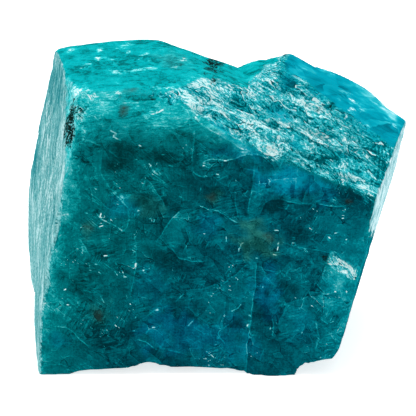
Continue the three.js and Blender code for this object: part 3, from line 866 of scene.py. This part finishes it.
class Sheet:
    """A material's node tree, built by calls."""

    def __init__(self, name):
        self.material = bpy.data.materials.new(name)
        self.material.use_nodes = True
        self.tree = self.material.node_tree
        self.tree.nodes.clear()
        self.place = self.node("ShaderNodeTexCoord", out="Object")

    def node(self, kind, settings=None, sockets=None, out=0):
        """Adds a node: its settings first, then the values or links of its sockets."""
        made = self.tree.nodes.new(kind)
        for key, value in (settings or {}).items():
            setattr(made, key, value)
        for key, value in (sockets or {}).items():
            if isinstance(value, Term):
                self.tree.links.new(value.socket, made.inputs[key])
            else:
                made.inputs[key].default_value = value
        return Term(self, made.outputs[out])

    def vector_math(self, operation, *values, out=0):
        """Adds a Vector Math node on these values."""
        settings, sockets = {"operation": operation}, dict(enumerate(values))
        return self.node("ShaderNodeVectorMath", settings, sockets, out)

    def surface(self, shader):
        """Ends the tree at a shader, and gives the material."""
        end = self.tree.nodes.new("ShaderNodeOutputMaterial")
        self.tree.links.new(shader.socket, end.inputs["Surface"])
        return self.material

    def zone(self, name):
        """The number that a zone has at each point of the skin."""
        return self.node("ShaderNodeAttribute", {"attribute_name": name}, out="Fac")

    def grain(self, face, turn, sizes, place=None):
        """The place in a face's own axes after a turn, in grains of these millimetres."""
        axes = turned(face_axes(face), turn, 2)
        sockets = {
            "Vector": place or self.place,
            "Rotation": Matrix(axes.tolist()).to_euler(),
            "Scale": [size * MM for size in sizes],
        }
        return self.node("ShaderNodeMapping", {"vector_type": "TEXTURE"}, sockets)

    def noise(self, vector, scale, detail, roughness=0.6, warp=0.0):
        """Smooth noise around 0.5, with finer layers by detail, and bent by warp."""
        sockets = {
            "Vector": vector, "Scale": scale, "Detail": detail,
            "Roughness": roughness, "Distortion": warp,
        }
        return self.node("ShaderNodeTexNoise", None, sockets)

    def clouds(self, size, detail=3.0, roughness=0.6, warp=0.0):
        """Noise in patches of about this many millimetres."""
        return self.noise(self.place, 1 / (size * MM), detail, roughness, warp)

    def strokes(self, face, turn, sizes, warp=0.0, place=None, detail=3.0):
        """Noise drawn out one way over a face."""
        return self.noise(self.grain(face, turn, sizes, place), 1.0, detail, warp=warp)

    def brush(self, face, turn, sizes, warp=0.3, place=None, soft=0.2):
        """Strokes from 0 to 1 with good contrast."""
        return self.strokes(face, turn, sizes, warp, place).step(0.5 - soft, 0.5 + soft)

    def between(self, amount, first, second):
        """A number between two: all first at 0, all second at 1."""
        return first + (second - first) * amount

    def bent(self, amount, size):
        """The place moved about by smooth noise: how far and in patches how large, in mm."""
        sockets = {"Vector": self.place, "Scale": 1 / (size * MM)}
        drift = self.node("ShaderNodeTexNoise", None, sockets, "Color")
        return self.vector_math("MULTIPLY_ADD", drift, [amount * MM] * 3, self.place)

    def flakes(self, face, turn, sizes, place):
        """Uneven flat cells: each one's tone from 0 to 1, a slant that runs from about -0.5 to 0.5
        across it as on a tilted plane, and the distance to its edge. Added to a colour, the slant
        is painted shading, lighter on one side of each cell and darker on the other; in the relief
        it is a tilt."""
        sockets = {"Vector": self.grain(face, turn, sizes, place), "Scale": 1.0}
        cell = self.node("ShaderNodeTexVoronoi", None, sockets, "Color")
        away = self.vector_math("SUBTRACT", sockets["Vector"], cell.other("Position"))
        lean = self.vector_math("SUBTRACT", cell, (0.5, 0.5, 0.5))
        slant = self.vector_math("DOT_PRODUCT", away, lean, out="Value")
        edge = {"feature": "DISTANCE_TO_EDGE"}
        edge = self.node("ShaderNodeTexVoronoi", edge, sockets, "Distance")
        return self.node("ShaderNodeSeparateColor", None, {0: cell}), slant * 1.5, edge

    def mix(self, amount, first, second):
        """A colour between two: all first at 0, all second at 1. Each is a link or three screen
        values."""
        first, second = (c if isinstance(c, Term) else linear(*c) for c in (first, second))
        settings = {"data_type": "RGBA", "clamp_factor": True}
        return self.node("ShaderNodeMix", settings, {0: amount, 6: first, 7: second}, 2)

    def ramp(self, amount, name):
        """The colour that a ramp has at an amount, easing from each stop to the next."""
        colour, *stops = RAMPS[name]
        for start, full, *stop in stops:
            colour = self.mix(amount.step(start, full), colour, stop)
        return colour


# ---------------------------------------------------------------- the stone
# Colours as screen values from 0 to 255.
BRIGHT, PALE, SMOKE = (4, 144, 156), (140, 216, 220), (0, 44, 44)
RUST, CHAR = (52, 62, 50), (13, 36, 33)

# Each ramp's first colour, and then its stops: where one begins, where it is full, its colour.
RAMPS = {
    "deep": ((0, 48, 60), (0.0, 0.35, 0, 76, 89), (0.25, 0.65, 0, 106, 119),
             (0.6, 1.1, *BRIGHT), (1.0, 1.5, 60, 178, 186), (1.4, 2.1, 222, 246, 247)),
    "blue": ((0, 62, 88), (0.0, 0.4, 0, 98, 126), (0.3, 0.8, 0, 144, 170),
             (0.9, 1.6, 110, 206, 218)),
    "olive": ((6, 62, 62), (0.0, 0.4, 22, 102, 98), (0.3, 0.8, 44, 132, 124),
              (0.9, 1.6, 170, 220, 206)),
    "green": ((0, 50, 54), (0.0, 0.35, 0, 78, 84), (0.25, 0.65, 0, 106, 112),
              (0.6, 1.1, 6, 146, 150), (1.0, 1.5, 64, 180, 184), (1.4, 2.1, 222, 246, 247)),
    "lit": ((2, 102, 104), (0.1, 0.35, 2, 145, 150), (0.3, 0.65, 6, 168, 174),
            (0.65, 1.0, 30, 190, 194), (0.9, 1.3, 92, 213, 216), (1.2, 1.9, 222, 246, 247)),
    "shoulder": ((0, 104, 124), (0.1, 0.4, 0, 132, 152), (0.35, 0.75, 2, 154, 175),
                 (0.75, 1.1, 24, 176, 192), (1.05, 1.5, 100, 208, 220),
                 (1.4, 2.0, 222, 246, 247)),
    # frosted: the left face's pale colour, partly frost and partly a painted reflection of a white
    # backdrop.
    "frosted": ((30, 130, 138), (0.1, 0.45, 104, 180, 184), (0.5, 0.85, 192, 232, 234)),
    "side": ((40, 140, 152), (0.1, 0.5, 120, 184, 192), (0.45, 0.9, 206, 236, 240)),
    "ice": ((0, 88, 96), (0.0, 0.2, 0, 120, 130), (0.15, 0.4, 4, 150, 161),
            (0.35, 0.6, 22, 178, 190), (0.55, 0.85, 74, 207, 215), (0.8, 1.2, 216, 248, 248)),
    "smooth ice": ((0, 104, 124), (0.0, 0.6, 6, 168, 186)),
}


class Stone(Sheet):
    """Cloudy blue-green stone. Each zone adds up its own clouds, flakes and strokes to one
    number, and a ramp turns that into deep teal, turquoise, pale blue-green and white."""

    def __init__(self):
        super().__init__("apatite")
        self.cloud = self.clouds(6, 3.0, 0.5, 0.4).step(0.33, 0.67)
        self.mottle = self.clouds(1.5, 4.0, 0.6, 0.3).step(0.3, 0.7)
        self.grit = self.clouds(0.28).step(0.3, 0.7)
        self.dust = self.clouds(0.13, 2.0) - 0.5
        self.swarm = self.clouds(4).step(0.5, 0.68)
        self.ragged = (self.clouds(0.6, 4.0, 0.7) - 0.5) * 0.7
        self.flowing, self.swirling = self.bent(1.6, 4), self.bent(3.4, 4)
        self.front, self.slope = self.area("front"), self.area("slope")
        self.slab = self.flakes("front", 25, (5.5, 3.4, 3.4), self.flowing)
        self.part = self.flakes("front", -35, (2.4, 1.3, 1.3), self.flowing)
        self.bit = self.flakes("front", 20, (0.9, 0.45, 0.45), self.flowing)
        self.brushed = self.brushed_parts()
        self.shine = self.shining()

    def area(self, *names):
        """The part of the skin in these zones, with a ragged border."""
        return (sum(self.zone(name) for name in names) + self.ragged).step(0.42, 0.58)

    def brushed_parts(self):
        """Strokes over the front that change direction from part to part."""
        first = self.brush("front", 62, (1.8, 0.14, 0.5), 0.8)
        second = self.brush("front", -38, (2.2, 0.15, 0.5), 0.8)
        third = self.brush("front", 12, (1.8, 0.14, 0.5), 0.8)
        strokes = self.between(self.part[0].step(0.3, 0.36), first, second)
        return self.between(self.part[0].step(0.62, 0.68), strokes, third)

    def shining(self):
        """What is painted white in the stone: the cracks' lines, with painted light to their left
        and a little painted shade on their far side; the flecks, the brightest strokes and the
        glints, which are painted highlights; and pale patches, which are frost on most faces and
        painted gloss reflections on the top."""
        grit, mottle, spark, light = self.grit, self.mottle, self.zone("spark"), self.zone("light")
        side, crack = self.zone("beside"), self.zone("crack")
        line = (1 - abs(side).step(0.02, 0.1)) * (1 - self.zone("beyond").step(0.0, 0.14))
        line = line * crack * (grit * 0.3 + mottle * 0.7 + 0.2)
        # behind: each crack's far side, where its painted light stops and a little painted shade
        # is laid.
        behind = (1 - side.step(-0.04, 0.04)) * crack.step(0.0, 0.2)
        shine = line * 0.9 + light * (1 - behind) * (0.22 + mottle * 0.26 + (grit - 0.5) * 0.12)
        shine = shine - behind * light * 0.1
        # The brightest strokes and the glints: painted highlights.
        strokes = self.brushed.step(0.72, 0.95) * (self.swarm * 0.25 + spark * 0.6)
        glint = self.strokes("front", -40, (0.5, 0.2, 0.3), place=self.flowing, detail=2.0)
        glint = (glint + (self.swarm - 1) * 0.12 + spark * 0.06).step(0.6, 0.74) * 1.6
        shine = shine + (strokes + glint) * self.front
        # Pale patches: frost, and on the top painted gloss reflections.
        feather = self.between(self.zone("top"), self.brush("front", -42, (1.2, 0.14, 0.4)),
                               self.brush("top", 8, (1.4, 0.3, 0.4), 1.0))
        feather = feather * 0.5 + mottle * 0.3 + grit * 0.3
        shine = shine + self.zone("pale") * feather.step(0.42, 0.8) * 1.3
        return shine * (1 - self.slope)

    def deep(self):
        """The front: deep and cloudy, in facets that are each brushed their own way."""
        cloud, mottle, grit, blue = self.cloud, self.mottle, self.grit, self.zone("blue")
        slab, slab_slant, _ = self.slab
        part, part_slant, part_edge = self.part
        bit, bit_slant, _ = self.bit
        upright = self.strokes("front", 90, (2.2, 0.16, 0.5))
        level = self.strokes("front", 0, (2.2, 0.16, 0.5))
        vein = self.strokes("front", -30, (1.6, 1.1, 1.1), place=self.flowing)
        vein = (1 - abs(vein - 0.5).step(0.0, 0.022)) * cloud * mottle
        busy = self.clouds(3).step(0.42, 0.62) * (1 - blue * 0.6)
        # The slants of the bits, slabs and parts, and the lines along the parts' edges, are
        # painted shading of tilted facets.
        fuss = (bit - 0.5) * 0.14 + bit_slant * 0.4 + (self.brushed - 0.5) * 0.42 + vein * 0.5
        tone = 0.1 + cloud * 0.17 + slab * 0.1 + slab_slant * 0.22
        tone = tone + part * 0.06 + part_slant * 0.22 + mottle * 0.14 + (grit - 0.5) * 0.12
        tone = tone + self.dust * 0.55 + (upright + level - 1) * 0.3 + fuss * busy
        tone = tone + (0.04 - part_edge).step(0.0, 0.04) * part_slant * 1.5 * mottle
        # Painted highlights lighten the tone.
        tone = tone + self.zone("painted_highlight") * 0.42
        tone = tone + self.zone("glow") * (0.5 + mottle * 0.4 + grit * 0.4)
        tone = tone - self.zone("smoke") * 0.28 + self.shine
        colour = self.mix(self.zone("green"), self.ramp(tone, "deep"), self.ramp(tone, "green"))
        colour = self.mix(blue * 0.9, colour, self.ramp(tone, "blue"))
        return self.mix(self.zone("olive"), colour, self.ramp(tone, "olive"))

    def lit(self, lines):
        """The top, the saddle and the band under the top: lit turquoise, in lines on the band."""
        top, band = self.zone("top"), self.zone("band")
        # drift: soft whitish streaks over the top, the stone's own clouding and painted gloss
        # reflections.
        drift = self.brush("top", 12, (1.8, 1.0, 1.0), 2.0)
        wisps = self.brush("topBand", -22, (1.8, 0.2, 0.4), 1.0, self.flowing, 0.12)
        tone = self.between(band, drift * 0.7 + 0.1, lines) * 0.4
        tone = tone + self.cloud * 0.3 + self.mottle * 0.3 + (self.grit - 0.5) * 0.2
        # The slants of the parts and bits are painted shading of tilted facets.
        tone = tone + self.dust * 0.9 + self.part[1] * 0.26 + self.bit[1] * 0.3 + 0.02
        tone = tone + band * 0.2 - top * 0.04
        # Painted highlights lighten the tone.
        tone = tone + self.zone("painted_highlight") * 0.4 + self.zone("edge") * 0.42
        tone = tone + self.zone("near") * (wisps.step(0.25, 0.8) * 0.9 - 0.15)
        tone = (tone - 0.45 - self.zone("smoke") * 0.4) * (1.15 - top * 0.25) + 0.42
        return self.ramp(tone + self.shine * (1 + top * 0.35), "lit")

    def sea(self):
        """The shoulder: clear blue, with long soft strokes."""
        swell, swell_slant, _ = self.flakes("shoulder", -30, (5, 2, 2), self.flowing)
        strokes = self.brush("shoulder", -72, (4, 0.3, 1))
        # The swells' slant is painted shading of tilted facets.
        tone = 0.2 + swell * 0.16 + swell_slant * 0.45 + self.cloud * 0.35 + self.mottle * 0.25
        # Painted highlights lighten the tone.
        tone = tone + self.dust * 0.4 + strokes * 0.2 + self.zone("painted_highlight") * 0.75
        return self.ramp(tone + self.shine * 1.2, "shoulder")

    def frosted(self, streak, hair):
        """The left face: frosted, with fine streaks, and clearer at its back rim. Its pale colour
        is partly frost and partly a painted reflection of a white backdrop seen at a grazing
        angle.
        """
        tone = streak * 0.55 + hair * 0.45 + (self.grit - 0.5) * 0.3 + (self.cloud - 0.5) * 0.2
        tone = tone + 0.02 - self.zone("dim") * 0.4
        rim = (self.zone("rim") * (0.6 + self.mottle * 0.6)).clamped()
        return self.mix(rim, self.ramp(tone, "frosted"), BRIGHT)

    def icy(self):
        """The fracture slope: frosted flakes that flow down it, each painted lighter on one side
        and darker on the other, over gaps with painted shade on one side and painted light on the
        other, crumbly in places, and smooth in its recesses. Gives its colour, frostiness and
        relief."""
        swirling, turn = self.swirling, SPLINTER_TURN
        pale, recess = self.zone("pale"), self.zone("recess")
        tongue, tongue_slant, rift = self.flakes("slope", turn, (3.8, 1.4, 1.4), swirling)
        flake, flake_slant, _ = self.flakes("slope", turn - 12, (1.4, 0.45, 0.45), swirling)
        strand = self.brush("slope", turn - 6, (2.2, 0.2, 0.4), 0.8, swirling, 0.1)
        fine = self.brush("slope", turn - 24, (0.9, 0.11, 0.3), 0.8, swirling, 0.1)
        steep = self.brush("slope", 40, (2.4, 0.2, 0.4), soft=0.12)
        crumb = self.clouds(0.45, 4.0, 0.8).step(0.4, 0.6)
        weave = self.between(self.zone("crumb"), strand * 0.55 + fine * 0.45, crumb)
        weave = self.between(self.zone("steep"), weave, steep * 0.7 + fine * 0.3)
        # The slants of the tongues and flakes, and the lines along the tongues' edges, are painted
        # shading: lighter on one side, darker on the other.
        frost = tongue * 0.26 + tongue_slant * 0.5 + flake * 0.2 + flake_slant * 0.4
        frost = frost + self.dust * 0.9 + (self.grit - 0.5) * 0.45
        frost = frost + (weave - 0.5) * (0.85 + pale * 0.2 - recess * 0.6)
        frost = frost + (0.07 - rift).step(0.0, 0.07) * tongue_slant * 1.2
        frost = frost + 0.3 + self.zone("sunny") * 0.17 + pale * 0.36
        frost = frost - recess * 0.1 - self.zone("smoke") * 0.38
        ice = self.mix(recess * 0.9, self.ramp(frost, "ice"), self.ramp(frost, "smooth ice"))
        return ice, frost, weave * 0.4 + tongue_slant * 0.8 + flake_slant * 0.5

    def stained(self, colour):
        """A colour under the smoky clouds, the rust and the char."""
        clear = (1 - self.slope) * (1 - self.zone("band"))
        colour = self.mix(self.zone("smoke") * 0.5 * clear, colour, SMOKE)
        rust = self.zone("rust") * (self.grit * 0.35 + self.mottle * 0.35 + 0.3)
        char = (self.zone("char") * (1.3 - self.grit) - self.dust).step(0.25, 0.7)
        return self.mix(char, self.mix(rust, colour, RUST), CHAR)


def apatite():
    """The stone's zones laid over each other, from the front to the slope, then the stains."""
    s = Stone()
    zone, grit, mottle = s.zone, s.grit, s.mottle
    lines = s.brush("topBand", 8, (1.8, 0.2, 0.5), 1.6, s.flowing, 0.12)
    streak = s.brush("leftUpper", GROOVE_TURN, (6, 0.35, 1), 0.3, s.flowing)
    hair = s.brush("leftUpper", GROOVE_TURN, (1.8, 0.1, 0.4), 0.3, s.flowing)
    left, ice, frost, ice_relief = s.area("left"), *s.icy()
    # Painted light and shade: the top, the saddle and the band's upper part take the lit colours
    # as painted light, and the band's lower part (dusk) takes the front's deep colours as painted
    # shade. The hidden faces take the deep colours too.
    dark = (zone("band") + zone("front")) * zone("dusk") + zone("hidden")
    body = s.mix(dark.clamped(), s.lit(lines), s.deep())
    body = s.mix(s.area("shoulder"), body, s.sea())
    # The left face: frost, with a painted reflection of a white backdrop.
    body = s.mix(left, body, s.frosted(streak, hair))
    body = s.mix(s.area("edge") * (hair * 0.6 + grit * 0.4).step(0.5, 0.75) * 0.7, body, PALE)
    lip = (zone("left") * zone("front") * 4).step(0.2, 0.9) * (hair * 0.5 + grit * 0.5)
    body = s.mix(lip.step(0.3, 0.7) * 0.8, body, PALE)
    worn = s.brush("right", 72, (5, 0.3, 0.5), 0.6) * 0.7 + mottle * 0.5 + 0.06
    body = s.mix(s.area("side"), body, s.ramp(worn, "side"))
    body = s.stained(s.mix(s.slope, body, ice))

    matt = (s.area("left", "side") + s.slope * frost.step(0.45, 0.6)).clamped()
    relief = mottle * 0.2 + left * (streak + hair) * 0.3 + s.slope * ice_relief
    relief = relief + (s.brushed * 0.2 + s.slab[1] * 0.8 + s.part[1] * 0.5) * s.front
    relief = relief + s.area("band") * lines * 0.3 + zone("char") * grit * 0.8
    bump = {"Height": relief, "Strength": 0.6, "Distance": 0.35 * MM}
    sockets = {
        "Base Color": body, "Roughness": 0.25 + 0.4 * matt + 0.2 * (mottle - 0.5), "IOR": 1.63,
        "Specular IOR Level": 0.0, "Normal": s.node("ShaderNodeBump", None, bump),
        "Coat Weight": s.area("top", "band", "shoulder") * 0.01, "Coat Roughness": 0.15,
        "Subsurface Weight": 0.12, "Subsurface Radius": (1.0, 1.0, 1.0),
        "Subsurface Scale": 0.5 * MM,
    }
    return s.surface(s.node("ShaderNodeBsdfPrincipled", None, sockets))


# ---------------------------------------------------------------- floor, lights, camera
FLOOR_HALF, FLOOR_CLOUDS, FLOOR_GLOW = 3000.0, 25, 0.85
FLOOR_TONES = (232, 232, 232), (238, 238, 238)
VIEW_RISE, VIEW_DISTANCE, VIEW_AIM = 20, 140, np.array([-0.6, -1.22, 15.85])
LENS, SENSOR, NEAREST_SEEN = 100, 36, 0.005
LAMP_PLACE, LAMP_AIM, LAMP_SIZE, LAMP_POWER = (-0.05, 0.1, 0.5), (0, 0, 0.016), 0.35, 2.2
SKY_STRENGTH = 0.55


def pale_floor():
    """A wide level square at height 0, near white and a little lit of its own."""
    s = Sheet("pale_floor")
    colour = s.mix(s.clouds(FLOOR_CLOUDS, 2.0, 0.55), *FLOOR_TONES)
    sockets = {"Base Color": colour, "Roughness": 0.9, "Emission Color": colour,
               "Emission Strength": FLOOR_GLOW}
    corners = FLOOR_HALF * np.array([[-1, -1, 0], [1, -1, 0], [1, 1, 0], [-1, 1, 0]])
    material = s.surface(s.node("ShaderNodeBsdfPrincipled", None, sockets))
    return mesh_object("floor", corners, np.array([[0, 1, 2, 3]]), {}, material)


def camera():
    """A long lens, 140 mm from the crystal's middle and twenty degrees above level."""
    lens = bpy.data.cameras.new("camera")
    lens.lens, lens.sensor_width, lens.sensor_fit = LENS, SENSOR, "HORIZONTAL"
    lens.clip_start = NEAREST_SEEN
    eye = bpy.data.objects.new("camera", lens)
    tilt = np.radians(VIEW_RISE)
    away = VIEW_DISTANCE * np.array([0, -np.cos(tilt), np.sin(tilt)])
    eye.location = (VIEW_AIM + away) * MM
    eye.rotation_euler = (np.pi / 2 - tilt, 0, 0)
    bpy.context.scene.collection.objects.link(eye)
    bpy.context.scene.camera = eye


def studio():
    """An even white sky and one square lamp over the crystal's back, in metres."""
    world = bpy.data.worlds.new("studio")
    world.use_nodes = True
    background = world.node_tree.nodes["Background"]
    background.inputs["Color"].default_value = (1, 1, 1, 1)
    background.inputs["Strength"].default_value = SKY_STRENGTH
    bpy.context.scene.world = world
    bpy.context.scene.view_settings.view_transform = "Standard"
    light = bpy.data.lights.new("overhead", "AREA")
    light.size, light.energy = LAMP_SIZE, LAMP_POWER
    lamp = bpy.data.objects.new("overhead", light)
    away = Vector(LAMP_PLACE) - Vector(LAMP_AIM)
    lamp.rotation_euler = away.to_track_quat("Z", "Y").to_euler()
    lamp.location = LAMP_PLACE
    bpy.context.scene.collection.objects.link(lamp)


skin = mesh_object("apatite_skin", *crystal_surface(), apatite())
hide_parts("apatite_crystal")
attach(skin, "root")
pale_floor()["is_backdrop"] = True
studio()
camera()

boxes = {"solid": solid_box, "visual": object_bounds()}
{key: [list(map(float, c)) for c in box] for key, box in boxes.items()}
